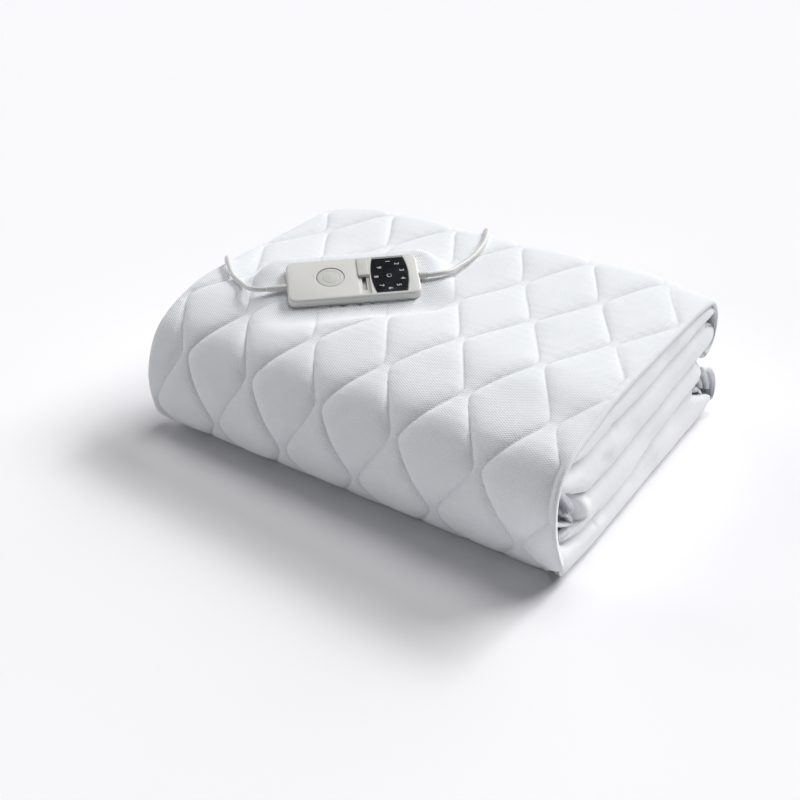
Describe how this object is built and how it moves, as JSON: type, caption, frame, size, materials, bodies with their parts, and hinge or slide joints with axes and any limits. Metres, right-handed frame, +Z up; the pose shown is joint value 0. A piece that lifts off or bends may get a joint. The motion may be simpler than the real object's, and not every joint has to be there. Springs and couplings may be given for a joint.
{
  "type": "electric blanket",
  "caption": "Quilted electric underblanket folded into a bundle, with a wired control on top and its mains lead coiled behind.",
  "frame": {"origin": "on the floor, under the middle of the folded bundle and its control", "axes": "+X along the long folded front towards the end whose bands show, +Y from the folded front to the two back lobes, +Z up"},
  "size_m": [0.6141, 0.4517, 0.1657],
  "materials": {
    "quilted_cloth": "matt white quilted knit with a small honeycomb texture",
    "skirt_cloth": "matt white smooth stretch knit",
    "case": "satin pale warm grey",
    "button": "satin pale warm grey",
    "window": "gloss black with pale numbers",
    "relief": "satin pale grey",
    "cord": "satin off-white",
    "tie": "matt white",
    "pin": "bright nickel"
  },
  "bodies": {
    "blanket": {"quilted_panel": "quilted_cloth", "skirt_right": "skirt_cloth", "skirt_left": "skirt_cloth", "control_base": "case", "control_top": "case", "control_window": "window", "relief_left": "relief", "relief_right": "relief", "mains_cord": "cord", "mains_coil": "cord", "coil_tie": "tie", "mains_tail": "cord", "plug_body": "case", "plug_pin_1": "pin", "plug_pin_2": "pin", "blanket_cord": "cord", "blanket_connector": "case"},
    "button": {"control_button": "button"},
    "slider": {"control_slider": "button"}
  },
  "joints": [
    {"name": "button_push", "type": "slide", "parent": "blanket", "child": "button", "axis": [-0.2006, 0.2589, -0.9448], "range_m": [0, 0.0012], "stiffness_N_per_m": 400, "springref_m": -0.001},
    {"name": "switch_slide", "type": "slide", "parent": "blanket", "child": "slider", "axis": [0.6627, -0.6744, -0.3256], "range_m": [0, 0.026]}
  ]
}
